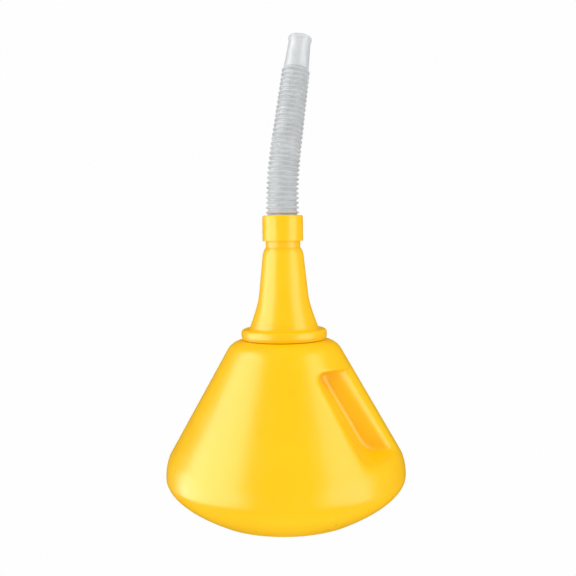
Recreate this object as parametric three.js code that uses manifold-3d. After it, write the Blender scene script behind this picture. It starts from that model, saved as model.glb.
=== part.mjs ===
// A hand funnel for fuel and other fluids, standing on its mouth.
// A blow-moulded bowl with a pinch grip carries a push-in tapered spout, a strainer, and a flexible
// corrugated hose held on the spout's neck by a screw collar. Millimetres, +Z up, mouth rim at z = 0.

import * as THREE from 'three';
import { mergeVertices } from 'three/addons/utils/BufferGeometryUtils.js';
import Module from 'manifold-3d';

const wasm = await Module();
wasm.setup();

const point = (r, z) => new THREE.Vector2(r, z);

// ---------------------------------------------------------------- driving dimensions

const GAP = 0.3; // clearance between pieces that touch
const SLIP = 0.4; // radial clearance of pieces that slide or turn in each other
const OVERRUN = 1; // how far a cutter runs past the material it cuts
const CURVE_STEPS = 3; // straight steps that a rounded stretch is made of

// bowl
const WALL = 1.8;
const BOWL_R = 90;
const BOWL_WIDEST_Z = 29.4;
const MOUTH_R = 58;
const LIP_FULLNESS_Z = 16.8; // height at which the in-turned lip's two tangents meet
const HEEL_DEPTH = 7.3;
const HEEL_HEIGHT = 18.7;
const SHOULDER_Z = 128.2; // where the cone's line meets the shoulder's line
const SHOULDER_LEDGE = 8.37; // from there in to the spout's seat
const SHOULDER_RISE = 2.2;
const SHOULDER_ROUND = 6;
const BOWL_SEGMENTS = 48;

// throat of the bowl
const THROAT_R = 27.2;
const SLEEVE_DEPTH = 14;

// pinch grip: two mirrored pockets beside the +X edge of the bowl
const GRIP_WIDTH = 30; // from the pocket's inner edge to the bowl's outline
const GRIP_THICKNESS = 44; // between the floors of the two pockets
const GRIP_ABOVE_WIDEST = 17.6;
const GRIP_BELOW_SHOULDER = 15.2;
const GRIP_FILLET = 8; // between a pocket's walls and its floor
const GRIP_FLOOR_CORNER = 3;

// tapered spout
const SPOUT_WALL = 2;
const PLUG_DEPTH = 13.4;
const PLUG_WALL = 3.2;
const FLANGE_WIDTH = 4.85; // beyond the throat
const FLANGE_CHAMFER = 0.8;
const FLANGE_HEIGHT = 7.6;
const FLANGE_ROUND = 2.6;
const FLANGE_LEDGE = 6.85; // from the flange's edge in to the foot of the flare
const FLARE_HEIGHT = 22.5;
const FLARE_FULLNESS = point(1.1, -8); // the flare's end tangent, from the taper's foot
const TAPER_SPREAD = 3.2; // radius gained from the taper's top to its foot
const TAPER_HEIGHT = 30.5;
const TAPER_SHOULDER = 5.3;
const SHOULDER_FULLNESS = point(-0.7, -2); // from the taper's top edge, at the neck's level
const NECK_STEP = 2.4; // from the taper's top in to the neck
const NECK_BARE_HEIGHT = 4.7;
const NECK_WALL = 2.1; // behind the thread
const SPOUT_SEGMENTS = 32;

// seal ring on the spout's plug
const SEAL_CORD_R = 0.8;
const SEAL_GROOVE_DEPTH = 1.8;
const SEAL_BELOW_SEAT = 7.4;

// strainer
const STRAINER_WALL = 1.8;
const STRAINER_HEIGHT = 9;
const STRAINER_FOOT = 1.5;
const STRAINER_BAR = 1.8;
const STRAINER_BAR_DEPTH = 3.2;
const TAB_WIDTH = 12;
const TAB_HEIGHT = 9;
const GAUZE_THICKNESS = 0.6;
const GAUZE_HOLE = 4.2;
const GAUZE_PITCH = 6;

// screw collar and the thread that it runs on
const COLLAR_WALL = 2;
const COLLAR_HEIGHT = 19;
const COLLAR_TOP_WALL = 2.3;
const COLLAR_ROUND = 1;
const THREAD_PITCH = 4;
const THREAD_DEPTH = 1;
const THREAD_TURNS = 1.75;
const THREAD_FOOT = 1.8; // width of the ridge at its foot
const THREAD_CREST = 0.8;
const THREAD_LEAD_IN = 2.4; // from the collar's edge to the thread's start
const THREAD_STEPS_PER_TURN = 16;
const THREAD_SINK = 0.3; // how deep the ridge's foot is sunk in its wall

// hose washer
const WASHER_THICKNESS = 1.2;

// corrugated hose: its crest radius falls from the foot to the tip
const HOSE_WALL = 0.8;
const HOSE_FOOT_CREST_R = 12.5;
const HOSE_TIP_CREST_R = 10.7;
const RIB_DEPTH = 1.7;
const RIB_PITCH = 3.62;
const FOOT_RIBS = 2;
const SECTION_RIBS = 4;
const SECTIONS = 7;
const TIP_RIBS = 1;
const HINGE_GAP = 3; // the fold left open between two sections, so that they can turn
const HOSE_FLANGE_THICKNESS = 1.5;
const HOSE_FLANGE_OVERHANG = 1.8;
const HOSE_SLEEVE_EXTRA_WALL = 0.2;
const HOSE_SLEEVE = 3; // plain tube between the flange and the first rib
const CUFF_LENGTH = 25.6;
const CUFF_FOOT_R = 9.6;
const CUFF_TOP_R = 8.3;
const CUFF_WALL = 1.2;
const CUFF_LIP_R = 8.95;
const CUFF_LIP_HEIGHT = 3.4;
const CUFF_LIP_ROUND = 0.8;
const HOSE_SEGMENTS = 16;

// the set that the hose holds at rest
const BEND_TOTAL = THREE.MathUtils.degToRad(13.6);
const BEND_AZIMUTH = THREE.MathUtils.degToRad(54); // direction of the lean, from +X towards +Y
const BEND_START = 0; // along the hose, from its first rib
const BEND_END = 56;

// ---------------------------------------------------------------- derived levels and radii

const FLANGE_R = THROAT_R + FLANGE_WIDTH;
const SEAT_R = FLANGE_R - FLANGE_CHAMFER;
const SHOULDER_R = SEAT_R + SHOULDER_LEDGE;
const SEAT_Z = SHOULDER_Z + SHOULDER_RISE;
const HEEL_CENTRE_R = BOWL_R - HEEL_DEPTH;
const GRIP_BOTTOM_Z = BOWL_WIDEST_Z + GRIP_ABOVE_WIDEST;
const GRIP_TOP_Z = SHOULDER_Z - GRIP_BELOW_SHOULDER;
const SLEEVE_BOTTOM_Z = SEAT_Z - SLEEVE_DEPTH;
const SPOUT_BASE_Z = SEAT_Z + GAP;
const PLUG_R = THROAT_R - SLIP;
const PLUG_BORE_R = PLUG_R - PLUG_WALL;
const PLUG_BOTTOM_Z = SEAT_Z - PLUG_DEPTH;
const FLANGE_TOP_Z = SPOUT_BASE_Z + FLANGE_HEIGHT;
const FLARE_R = FLANGE_R - FLANGE_LEDGE;
const FLARE_Z = FLANGE_TOP_Z + FLANGE_ROUND;
const TAPER_FOOT_Z = FLARE_Z + FLARE_HEIGHT;
const TAPER_TOP_Z = TAPER_FOOT_Z + TAPER_HEIGHT;
const NECK_Z = TAPER_TOP_Z + TAPER_SHOULDER;
const COLLAR_Z = NECK_Z + NECK_BARE_HEIGHT;
const COLLAR_TOP_Z = COLLAR_Z + COLLAR_HEIGHT;
const COLLAR_CEILING_Z = COLLAR_TOP_Z - COLLAR_TOP_WALL;
const HOSE_BORE_R = HOSE_FOOT_CREST_R - RIB_DEPTH - HOSE_WALL;
const HOSE_SLEEVE_R = HOSE_BORE_R + HOSE_WALL + HOSE_SLEEVE_EXTRA_WALL;
const HOSE_FLANGE_R = HOSE_SLEEVE_R + HOSE_FLANGE_OVERHANG;
const COLLAR_BORE_R = HOSE_FLANGE_R + SLIP;
const COLLAR_R = COLLAR_BORE_R + COLLAR_WALL;
const NECK_R = COLLAR_BORE_R - GAP;
const TAPER_TOP_R = NECK_R + NECK_STEP;
const TAPER_FOOT_R = TAPER_TOP_R + TAPER_SPREAD;
const HOSE_FLANGE_TOP_Z = COLLAR_CEILING_Z - GAP;
const WASHER_TOP_Z = HOSE_FLANGE_TOP_Z - HOSE_FLANGE_THICKNESS - GAP;
const NECK_TOP_Z = WASHER_TOP_Z - WASHER_THICKNESS - GAP;
const THREAD_CORE_R = NECK_R - THREAD_DEPTH;
const NECK_BORE_R = THREAD_CORE_R - NECK_WALL;
const THREAD_Z = COLLAR_Z + THREAD_LEAD_IN;
const HOSE_BASE_Z = HOSE_FLANGE_TOP_Z + HOSE_SLEEVE;
const HOSE_RIBS = FOOT_RIBS + SECTIONS * SECTION_RIBS + TIP_RIBS;
const HOSE_RIBBED_LENGTH = HOSE_RIBS * RIB_PITCH;
const STRAINER_R = PLUG_BORE_R - GAP;
const STRAINER_SEAT_Z = PLUG_BOTTOM_Z - GAP;
const STRAINER_BORE_R = STRAINER_R - STRAINER_WALL;
const STRAINER_BOTTOM_Z = STRAINER_SEAT_Z - STRAINER_FOOT;
const GAUZE_Z = STRAINER_BOTTOM_Z + STRAINER_BAR_DEPTH + GAP;

// ---------------------------------------------------------------- materials

const yellow = new THREE.MeshStandardMaterial({ color: 0xfdc814, roughness: 0.34, metalness: 0 });
const frosted = new THREE.MeshStandardMaterial({ color: 0xdde1e4, roughness: 0.45, metalness: 0 });
const blackRubber = new THREE.MeshStandardMaterial({ color: 0x1c1c1e, roughness: 0.8, metalness: 0 });
const whitePlastic = new THREE.MeshStandardMaterial({ color: 0xe9e9e4, roughness: 0.5, metalness: 0 });
const steel = new THREE.MeshStandardMaterial({ color: 0xb9bbbd, roughness: 0.35, metalness: 1 });

// ---------------------------------------------------------------- geometry helpers

function signedVolume(positions, indices) {
  const [a, b, c] = [new THREE.Vector3(), new THREE.Vector3(), new THREE.Vector3()];
  let sum = 0;
  for (let i = 0; i < indices.length; i += 3) {
    a.fromArray(positions, 3 * indices[i]);
    b.fromArray(positions, 3 * indices[i + 1]);
    c.fromArray(positions, 3 * indices[i + 2]);
    sum += a.dot(b.cross(c)) / 6;
  }
  return sum;
}

// One closed surface: shared vertices merged, collapsed triangles dropped, faces pointing out.
function closedSurface(source) {
  const bare = new THREE.BufferGeometry();
  bare.setAttribute('position', source.attributes.position.clone());
  bare.setIndex(source.index ? source.index.clone() : null);
  const merged = mergeVertices(bare, 1e-4);
  const indices = [];
  const all = merged.index.array;
  for (let i = 0; i < all.length; i += 3) {
    const [a, b, c] = [all[i], all[i + 1], all[i + 2]];
    if (a !== b && b !== c && c !== a) indices.push(a, b, c);
  }
  if (signedVolume(merged.attributes.position.array, indices) < 0) indices.reverse();
  merged.setIndex(indices);
  merged.computeVertexNormals();
  return merged;
}

// A solid of revolution about +Z, from a closed outline of (radius, height) points.
function revolve(outline, segments) {
  const lathe = new THREE.LatheGeometry([...outline, outline[0].clone()], segments);
  return closedSurface(lathe.rotateX(Math.PI / 2));
}

function asManifold(geometry) {
  const closed = closedSurface(geometry);
  return new wasm.Manifold(new wasm.Mesh({
    numProp: 3,
    vertProperties: Float32Array.from(closed.attributes.position.array),
    triVerts: Uint32Array.from(closed.index.array),
  }));
}

function asGeometry(manifold) {
  const mesh = manifold.getMesh();
  const geometry = new THREE.BufferGeometry();
  geometry.setAttribute('position', new THREE.BufferAttribute(mesh.vertProperties, 3));
  geometry.setIndex(new THREE.BufferAttribute(mesh.triVerts, 1));
  return closedSurface(geometry);
}

// The outline moved sideways by a distance, to the left of its direction of travel.
function offsetOutline(points, distance) {
  return points.map((here, i) => {
    const before = points[Math.max(i - 1, 0)];
    const after = points[Math.min(i + 1, points.length - 1)];
    const along = after.clone().sub(before).normalize();
    return point(here.x - along.y * distance, here.y + along.x * distance);
  });
}

// The point where the line from b through a reaches a height.
function extendedTo(a, b, z) {
  const t = (z - a.y) / (a.y - b.y);
  return point(a.x + (a.x - b.x) * t, z);
}

// A closed polygon, listed counter-clockwise, whose corners are rounded to a radius.
function roundedShape(corners, radius) {
  const shape = new THREE.Shape();
  corners.forEach((corner, i) => {
    const toBefore = corners[(i + corners.length - 1) % corners.length].clone().sub(corner).normalize();
    const toAfter = corners[(i + 1) % corners.length].clone().sub(corner).normalize();
    const half = toBefore.angleTo(toAfter) / 2;
    const centre = corner.clone().add(toBefore.clone().add(toAfter).setLength(radius / Math.sin(half)));
    const start = corner.clone().addScaledVector(toBefore, radius / Math.tan(half)).sub(centre);
    const end = corner.clone().addScaledVector(toAfter, radius / Math.tan(half)).sub(centre);
    shape.absarc(centre.x, centre.y, radius, start.angle(), end.angle(), false);
  });
  return shape;
}

// A helical ridge of trapezoid section. Its foot is at footR and its crest at crestR.
function helicalRidge(footR, crestR, startZ) {
  const steps = Math.round(THREAD_TURNS * THREAD_STEPS_PER_TURN);
  const section = [
    [footR, -THREAD_FOOT / 2], [crestR, -THREAD_CREST / 2],
    [crestR, THREAD_CREST / 2], [footR, THREAD_FOOT / 2],
  ];
  const positions = [];
  const indices = [];
  for (let i = 0; i <= steps; i++) {
    const angle = (2 * Math.PI * THREAD_TURNS * i) / steps;
    const rise = startZ + (THREAD_PITCH * angle) / (2 * Math.PI);
    for (const [r, z] of section) positions.push(r * Math.cos(angle), r * Math.sin(angle), rise + z);
  }
  for (let i = 0; i < steps; i++) {
    for (let j = 0; j < 4; j++) {
      const [a, b] = [4 * i + j, 4 * i + ((j + 1) % 4)];
      indices.push(a, b, b + 4, a, b + 4, a + 4);
    }
  }
  const last = 4 * steps;
  indices.push(0, 2, 1, 0, 3, 2, last, last + 1, last + 2, last, last + 2, last + 3);
  const geometry = new THREE.BufferGeometry();
  geometry.setAttribute('position', new THREE.Float32BufferAttribute(positions, 3));
  geometry.setIndex(indices);
  return geometry;
}

// ---------------------------------------------------------------- bowl

// The cone's line is the tangent from the shoulder's corner to the heel's ellipse.
function coneTangentAngle() {
  const toShoulder = point(
    (SHOULDER_R - HEEL_CENTRE_R) / HEEL_DEPTH, (SHOULDER_Z - BOWL_WIDEST_Z) / HEEL_HEIGHT);
  return toShoulder.angle() - Math.acos(1 / toShoulder.length());
}

const coneTangent = coneTangentAngle();
const heelTop = point(
  HEEL_CENTRE_R + HEEL_DEPTH * Math.cos(coneTangent),
  BOWL_WIDEST_Z + HEEL_HEIGHT * Math.sin(coneTangent),
);
const coneRadius = (z) => THREE.MathUtils.mapLinear(z, heelTop.y, SHOULDER_Z, heelTop.x, SHOULDER_R);

// From the mouth rim up the outside to the inner edge of the spout's seat.
function bowlOutline() {
  const corner = point(SHOULDER_R, SHOULDER_Z);
  const seatEdge = point(SEAT_R, SEAT_Z);
  const coneEnd = corner.clone().add(heelTop.clone().sub(corner).setLength(SHOULDER_ROUND));
  const shoulderEnd = corner.clone().add(seatEdge.clone().sub(corner).setLength(SHOULDER_ROUND));
  const path = new THREE.Path();
  path.moveTo(MOUTH_R, 0);
  path.quadraticCurveTo(BOWL_R, LIP_FULLNESS_Z, BOWL_R, BOWL_WIDEST_Z);
  path.absellipse(HEEL_CENTRE_R, BOWL_WIDEST_Z, HEEL_DEPTH, HEEL_HEIGHT, 0, coneTangent, false, 0);
  path.lineTo(coneEnd.x, coneEnd.y);
  path.quadraticCurveTo(corner.x, corner.y, shoulderEnd.x, shoulderEnd.y);
  path.lineTo(seatEdge.x, seatEdge.y);
  path.lineTo(THROAT_R, SEAT_Z);
  return path.getPoints(CURVE_STEPS);
}

// One pocket's cutter, grown outwards by a distance. side is -1 for the front, 1 for the back.
function gripCutter(side, grow) {
  const cornerR = GRIP_FILLET + GRIP_FLOOR_CORNER;
  const inner = (z) => point(coneRadius(z) - GRIP_WIDTH, z);
  const outer = (z) => point(coneRadius(z) + 3 * cornerR, z);
  const corners = [inner(GRIP_BOTTOM_Z), outer(GRIP_BOTTOM_Z), outer(GRIP_TOP_Z), inner(GRIP_TOP_Z)];
  const geometry = new THREE.ExtrudeGeometry(roundedShape(corners, cornerR), {
    depth: BOWL_R,
    curveSegments: CURVE_STEPS,
    bevelSize: GRIP_FILLET + grow,
    bevelThickness: GRIP_FILLET + grow,
    bevelOffset: -GRIP_FILLET,
    bevelSegments: CURVE_STEPS,
  });
  geometry.rotateX(Math.PI / 2);
  geometry.translate(0, -GRIP_THICKNESS / 2 - GRIP_FILLET, 0);
  if (side > 0) geometry.scale(1, -1, 1);
  return asManifold(geometry);
}

function bowlGeometry() {
  const outside = bowlOutline();
  const inside = offsetOutline(outside, WALL);
  const rimCut = extendedTo(inside[0], inside[1], -OVERRUN);
  let body = asManifold(revolve([point(0, 0), ...outside, point(0, SEAT_Z)], BOWL_SEGMENTS));
  let hollow = asManifold(revolve(
    [point(0, -OVERRUN), rimCut, ...inside, point(0, SEAT_Z - WALL)], BOWL_SEGMENTS));
  for (const side of [-1, 1]) {
    body = body.subtract(gripCutter(side, 0));
    hollow = hollow.subtract(gripCutter(side, WALL));
  }
  const sleeve = asManifold(revolve([
    point(THROAT_R - OVERRUN, SLEEVE_BOTTOM_Z), point(THROAT_R + WALL, SLEEVE_BOTTOM_Z),
    point(THROAT_R + WALL, SEAT_Z - WALL / 2), point(THROAT_R - OVERRUN, SEAT_Z - WALL / 2),
  ], BOWL_SEGMENTS));
  const throat = asManifold(revolve([
    point(0, SLEEVE_BOTTOM_Z - OVERRUN), point(THROAT_R, SLEEVE_BOTTOM_Z - OVERRUN),
    point(THROAT_R, SEAT_Z + OVERRUN), point(0, SEAT_Z + OVERRUN),
  ], BOWL_SEGMENTS));
  return asGeometry(body.subtract(hollow).add(sleeve).subtract(throat));
}

// ---------------------------------------------------------------- tapered spout and its seal

function spoutOutline() {
  const grooveZ = SEAT_Z - SEAL_BELOW_SEAT;
  const grooveHalf = SEAL_CORD_R + GAP;
  const grooveR = PLUG_R - SEAL_GROOVE_DEPTH;
  const taperFoot = point(TAPER_FOOT_R, TAPER_FOOT_Z);
  const flareTangent = taperFoot.clone().add(FLARE_FULLNESS);
  const shoulderTangent = point(TAPER_TOP_R, NECK_Z).add(SHOULDER_FULLNESS);
  const path = new THREE.Path();
  path.moveTo(PLUG_BORE_R, PLUG_BOTTOM_Z);
  path.lineTo(PLUG_R, PLUG_BOTTOM_Z);
  path.lineTo(PLUG_R, grooveZ - grooveHalf);
  path.lineTo(grooveR, grooveZ - grooveHalf);
  path.lineTo(grooveR, grooveZ + grooveHalf);
  path.lineTo(PLUG_R, grooveZ + grooveHalf);
  path.lineTo(PLUG_R, SPOUT_BASE_Z);
  path.lineTo(SEAT_R, SPOUT_BASE_Z);
  path.lineTo(FLANGE_R, SPOUT_BASE_Z + FLANGE_HEIGHT / 3);
  path.lineTo(FLANGE_R, FLANGE_TOP_Z - FLANGE_ROUND);
  path.quadraticCurveTo(FLANGE_R, FLANGE_TOP_Z, FLANGE_R - FLANGE_ROUND, FLANGE_TOP_Z);
  path.lineTo(FLARE_R, FLARE_Z);
  path.quadraticCurveTo(flareTangent.x, flareTangent.y, taperFoot.x, taperFoot.y);
  path.lineTo(TAPER_TOP_R, TAPER_TOP_Z);
  path.quadraticCurveTo(shoulderTangent.x, shoulderTangent.y, NECK_R, NECK_Z);
  path.lineTo(NECK_R, COLLAR_Z + GAP);
  path.lineTo(THREAD_CORE_R, COLLAR_Z + GAP + THREAD_DEPTH);
  path.lineTo(THREAD_CORE_R, NECK_TOP_Z);
  path.lineTo(NECK_BORE_R, NECK_TOP_Z);
  path.lineTo(NECK_BORE_R, NECK_Z);
  path.lineTo(TAPER_TOP_R - SPOUT_WALL, TAPER_TOP_Z - SPOUT_WALL);
  path.lineTo(TAPER_FOOT_R - SPOUT_WALL, TAPER_FOOT_Z);
  path.quadraticCurveTo(
    flareTangent.x - SPOUT_WALL, flareTangent.y, PLUG_BORE_R, FLARE_Z - SPOUT_WALL);
  return path.getPoints(CURVE_STEPS);
}

function spoutGeometry() {
  const shell = asManifold(revolve(spoutOutline(), SPOUT_SEGMENTS));
  const ridge = asManifold(helicalRidge(THREAD_CORE_R - THREAD_SINK, NECK_R, THREAD_Z));
  return asGeometry(shell.add(ridge));
}

function sealGeometry() {
  const centreR = PLUG_R - SEAL_GROOVE_DEPTH + GAP + SEAL_CORD_R;
  return new THREE.TorusGeometry(centreR, SEAL_CORD_R, 6, SPOUT_SEGMENTS)
    .translate(0, 0, SEAT_Z - SEAL_BELOW_SEAT);
}

// ---------------------------------------------------------------- strainer

function strainerFrameGeometry() {
  const footR = PLUG_R - SLIP;
  let frame = asManifold(revolve([
    point(STRAINER_BORE_R, STRAINER_BOTTOM_Z), point(footR, STRAINER_BOTTOM_Z),
    point(footR, STRAINER_SEAT_Z), point(STRAINER_R, STRAINER_SEAT_Z),
    point(STRAINER_R, STRAINER_BOTTOM_Z + STRAINER_HEIGHT),
    point(STRAINER_BORE_R, STRAINER_BOTTOM_Z + STRAINER_HEIGHT),
  ], SPOUT_SEGMENTS));
  const length = 2 * STRAINER_BORE_R + STRAINER_WALL;
  const barZ = STRAINER_BOTTOM_Z + STRAINER_BAR_DEPTH / 2;
  for (const turn of [0, Math.PI / 2]) {
    const bar = new THREE.BoxGeometry(length, STRAINER_BAR, STRAINER_BAR_DEPTH);
    frame = frame.add(asManifold(bar.rotateZ(turn).translate(0, 0, barZ)));
  }
  const tab = new THREE.BoxGeometry(TAB_WIDTH, STRAINER_BAR, TAB_HEIGHT);
  tab.translate(0, 0, STRAINER_BOTTOM_Z + OVERRUN - TAB_HEIGHT / 2);
  return asGeometry(frame.add(asManifold(tab)));
}

function gauzeGeometry() {
  const radius = STRAINER_BORE_R - GAP;
  const half = GAUZE_HOLE / 2;
  const disc = new THREE.CylinderGeometry(radius, radius, GAUZE_THICKNESS, SPOUT_SEGMENTS);
  let gauze = asManifold(disc.rotateX(Math.PI / 2));
  const reach = Math.floor(radius / GAUZE_PITCH);
  for (let i = -reach; i <= reach; i++) {
    for (let j = -reach; j <= reach; j++) {
      const [x, y] = [i * GAUZE_PITCH, j * GAUZE_PITCH];
      if (Math.hypot(Math.abs(x) + half, Math.abs(y) + half) > radius - OVERRUN) continue;
      const cutter = new THREE.BoxGeometry(GAUZE_HOLE, GAUZE_HOLE, GAUZE_THICKNESS + 2 * OVERRUN);
      gauze = gauze.subtract(asManifold(cutter.translate(x, y, 0)));
    }
  }
  return asGeometry(gauze.translate(0, 0, GAUZE_Z + GAUZE_THICKNESS / 2));
}

// ---------------------------------------------------------------- collar and washer

function collarGeometry() {
  const path = new THREE.Path();
  path.moveTo(COLLAR_BORE_R, COLLAR_Z);
  path.lineTo(COLLAR_R, COLLAR_Z);
  path.lineTo(COLLAR_R, COLLAR_TOP_Z - COLLAR_ROUND);
  path.quadraticCurveTo(COLLAR_R, COLLAR_TOP_Z, COLLAR_R - COLLAR_ROUND, COLLAR_TOP_Z);
  path.lineTo(HOSE_SLEEVE_R + SLIP, COLLAR_TOP_Z);
  path.lineTo(HOSE_SLEEVE_R + SLIP, COLLAR_CEILING_Z);
  path.lineTo(COLLAR_BORE_R, COLLAR_CEILING_Z);
  const shell = asManifold(revolve(path.getPoints(CURVE_STEPS), SPOUT_SEGMENTS));
  const startZ = THREAD_Z + THREAD_PITCH / 2;
  const ridge = asManifold(helicalRidge(COLLAR_BORE_R + THREAD_SINK, THREAD_CORE_R + GAP, startZ));
  return asGeometry(shell.add(ridge));
}

function washerGeometry() {
  const bottomZ = WASHER_TOP_Z - WASHER_THICKNESS;
  return revolve([
    point(NECK_BORE_R, bottomZ), point(THREAD_CORE_R, bottomZ),
    point(THREAD_CORE_R, WASHER_TOP_Z), point(NECK_BORE_R, WASHER_TOP_Z),
  ], SPOUT_SEGMENTS);
}

// ---------------------------------------------------------------- corrugated hose

const crestRadius = (s) => THREE.MathUtils.mapLinear(
  s, 0, HOSE_RIBBED_LENGTH, HOSE_FOOT_CREST_R, HOSE_TIP_CREST_R);

// Outer radius at a distance s along the hose: a root at each whole rib, a crest between two.
function ribRadius(s) {
  const phase = s / RIB_PITCH - Math.floor(s / RIB_PITCH + 1e-9);
  const height = 1 - Math.abs(2 * phase - 1);
  return crestRadius(s) - RIB_DEPTH * (1 - height);
}

// Outer points of the ribs from s = start to s = end, with heights counted from datum.
function ribPoints(start, end, datum) {
  const half = RIB_PITCH / 2;
  const points = [point(ribRadius(start), start - datum)];
  for (let i = Math.floor(start / half + 1e-6) + 1; i * half < end - 1e-6; i++) {
    points.push(point(ribRadius(i * half), i * half - datum));
  }
  points.push(point(ribRadius(end), end - datum));
  return points;
}

const innerWall = (points) => points.map((p) => point(p.x - HOSE_WALL, p.y)).reverse();

function hoseFootGeometry() {
  const ribs = ribPoints(RIB_PITCH / 2, FOOT_RIBS * RIB_PITCH - HINGE_GAP / 2, 0);
  const flangeTop = -HOSE_SLEEVE;
  const flangeBottom = flangeTop - HOSE_FLANGE_THICKNESS;
  return revolve([
    point(HOSE_BORE_R, flangeBottom), point(HOSE_FLANGE_R, flangeBottom),
    point(HOSE_FLANGE_R, flangeTop), point(HOSE_SLEEVE_R, flangeTop), point(HOSE_SLEEVE_R, 0),
    ...ribs, ...innerWall(ribs), point(HOSE_BORE_R, 0),
  ], HOSE_SEGMENTS);
}

function hoseSectionGeometry(base) {
  const length = SECTION_RIBS * RIB_PITCH;
  const ribs = ribPoints(base + HINGE_GAP / 2, base + length - HINGE_GAP / 2, base);
  return revolve([...ribs, ...innerWall(ribs)], HOSE_SEGMENTS);
}

function hoseTipGeometry(base) {
  const top = TIP_RIBS * RIB_PITCH + CUFF_LENGTH;
  const foot = TIP_RIBS * RIB_PITCH;
  const ribs = ribPoints(base + HINGE_GAP / 2, base + foot - RIB_PITCH / 2, base);
  const lipZ = top - CUFF_LIP_HEIGHT;
  return revolve([
    ...ribs, point(CUFF_FOOT_R, foot), point(CUFF_TOP_R, lipZ),
    point(CUFF_LIP_R, lipZ + CUFF_LIP_ROUND), point(CUFF_LIP_R, top - CUFF_LIP_ROUND),
    point(CUFF_LIP_R - CUFF_LIP_ROUND, top),
    point(CUFF_TOP_R - CUFF_WALL, top), point(CUFF_TOP_R - CUFF_WALL, lipZ),
    point(CUFF_FOOT_R - CUFF_WALL, foot), ...innerWall(ribs),
  ], HOSE_SEGMENTS);
}

// The lean of the hose's centreline at a distance s along it.
const leanAt = (s) => BEND_TOTAL * THREE.MathUtils.smoothstep(s, BEND_START, BEND_END);

const bendAxis = new THREE.Vector3(-Math.sin(BEND_AZIMUTH), Math.cos(BEND_AZIMUTH), 0);

// ---------------------------------------------------------------- assembly

const funnel = new THREE.Group();

function addPiece(parent, name, geometry, material) {
  const mesh = new THREE.Mesh(geometry, material.clone());
  mesh.name = name;
  parent.add(mesh);
}

// A chain of groups, each turned about its hinge, so that the sections follow the hose's set.
function addHose() {
  const sectionLength = SECTION_RIBS * RIB_PITCH;
  let parent = new THREE.Group();
  parent.position.z = HOSE_BASE_Z;
  funnel.add(parent);
  addPiece(parent, 'hose_foot', hoseFootGeometry(), frosted);
  let base = FOOT_RIBS * RIB_PITCH;
  let step = base;
  for (let i = 1; i <= SECTIONS + 1; i++) {
    const turned = new THREE.Group();
    turned.position.z = step;
    const lean = leanAt(base + sectionLength / 2) - leanAt(base - sectionLength / 2);
    turned.setRotationFromAxisAngle(bendAxis, lean);
    parent.add(turned);
    if (i <= SECTIONS) addPiece(turned, `hose_section_${i}`, hoseSectionGeometry(base), frosted);
    else addPiece(turned, 'hose_tip', hoseTipGeometry(base), frosted);
    parent = turned;
    step = sectionLength;
    base += sectionLength;
  }
}

addPiece(funnel, 'bowl', bowlGeometry(), yellow);
addPiece(funnel, 'spout_taper', spoutGeometry(), yellow);
addPiece(funnel, 'throat_seal', sealGeometry(), blackRubber);
addPiece(funnel, 'strainer_frame', strainerFrameGeometry(), whitePlastic);
addPiece(funnel, 'strainer_gauze', gauzeGeometry(), steel);
addPiece(funnel, 'collar_nut', collarGeometry(), yellow);
addPiece(funnel, 'hose_washer', washerGeometry(), blackRubber);
addHose();

export default funnel;
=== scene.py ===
"""A hand funnel standing on its mouth: fine surfaces, materials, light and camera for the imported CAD.

Sizes in this script are in millimetres unless a name ends in _M, and become metres when a mesh is made.
Heights come from the frame's own boxes; radii that no box gives are named here.
"""
import math

import bmesh
import bpy
import numpy as np
from mathutils import Matrix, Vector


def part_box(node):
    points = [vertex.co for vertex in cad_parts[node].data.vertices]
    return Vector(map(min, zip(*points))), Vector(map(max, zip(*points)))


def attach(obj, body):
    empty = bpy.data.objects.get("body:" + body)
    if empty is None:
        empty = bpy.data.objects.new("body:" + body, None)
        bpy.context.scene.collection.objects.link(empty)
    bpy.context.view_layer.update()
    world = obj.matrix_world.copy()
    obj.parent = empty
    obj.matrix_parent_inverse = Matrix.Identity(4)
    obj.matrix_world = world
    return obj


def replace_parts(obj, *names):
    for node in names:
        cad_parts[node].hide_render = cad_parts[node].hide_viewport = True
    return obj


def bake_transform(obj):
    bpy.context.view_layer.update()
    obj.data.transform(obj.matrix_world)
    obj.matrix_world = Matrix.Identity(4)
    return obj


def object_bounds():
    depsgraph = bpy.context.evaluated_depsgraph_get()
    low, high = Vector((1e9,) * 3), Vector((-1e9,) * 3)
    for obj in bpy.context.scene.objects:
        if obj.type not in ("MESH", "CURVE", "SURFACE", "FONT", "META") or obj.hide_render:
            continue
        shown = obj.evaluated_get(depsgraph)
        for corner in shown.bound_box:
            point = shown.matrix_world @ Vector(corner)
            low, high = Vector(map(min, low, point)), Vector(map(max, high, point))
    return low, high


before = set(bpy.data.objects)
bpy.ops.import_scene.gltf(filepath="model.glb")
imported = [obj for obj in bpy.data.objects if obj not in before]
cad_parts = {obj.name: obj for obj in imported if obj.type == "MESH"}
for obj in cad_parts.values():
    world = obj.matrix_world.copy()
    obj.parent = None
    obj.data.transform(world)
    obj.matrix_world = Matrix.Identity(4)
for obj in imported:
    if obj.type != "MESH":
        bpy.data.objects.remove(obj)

CAD_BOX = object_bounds()
MM = 0.001


def low(node):
    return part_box(node)[0][2] / MM


def high(node):
    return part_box(node)[1][2] / MM


# ---------------------------------------------------------------- sizes

GAP = 0.3                    # clearance between pieces that touch
SLIP = 0.4                   # radial clearance of pieces that slide or turn in each other
EDGE = 0.35                  # rounding of small moulded edges

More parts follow.
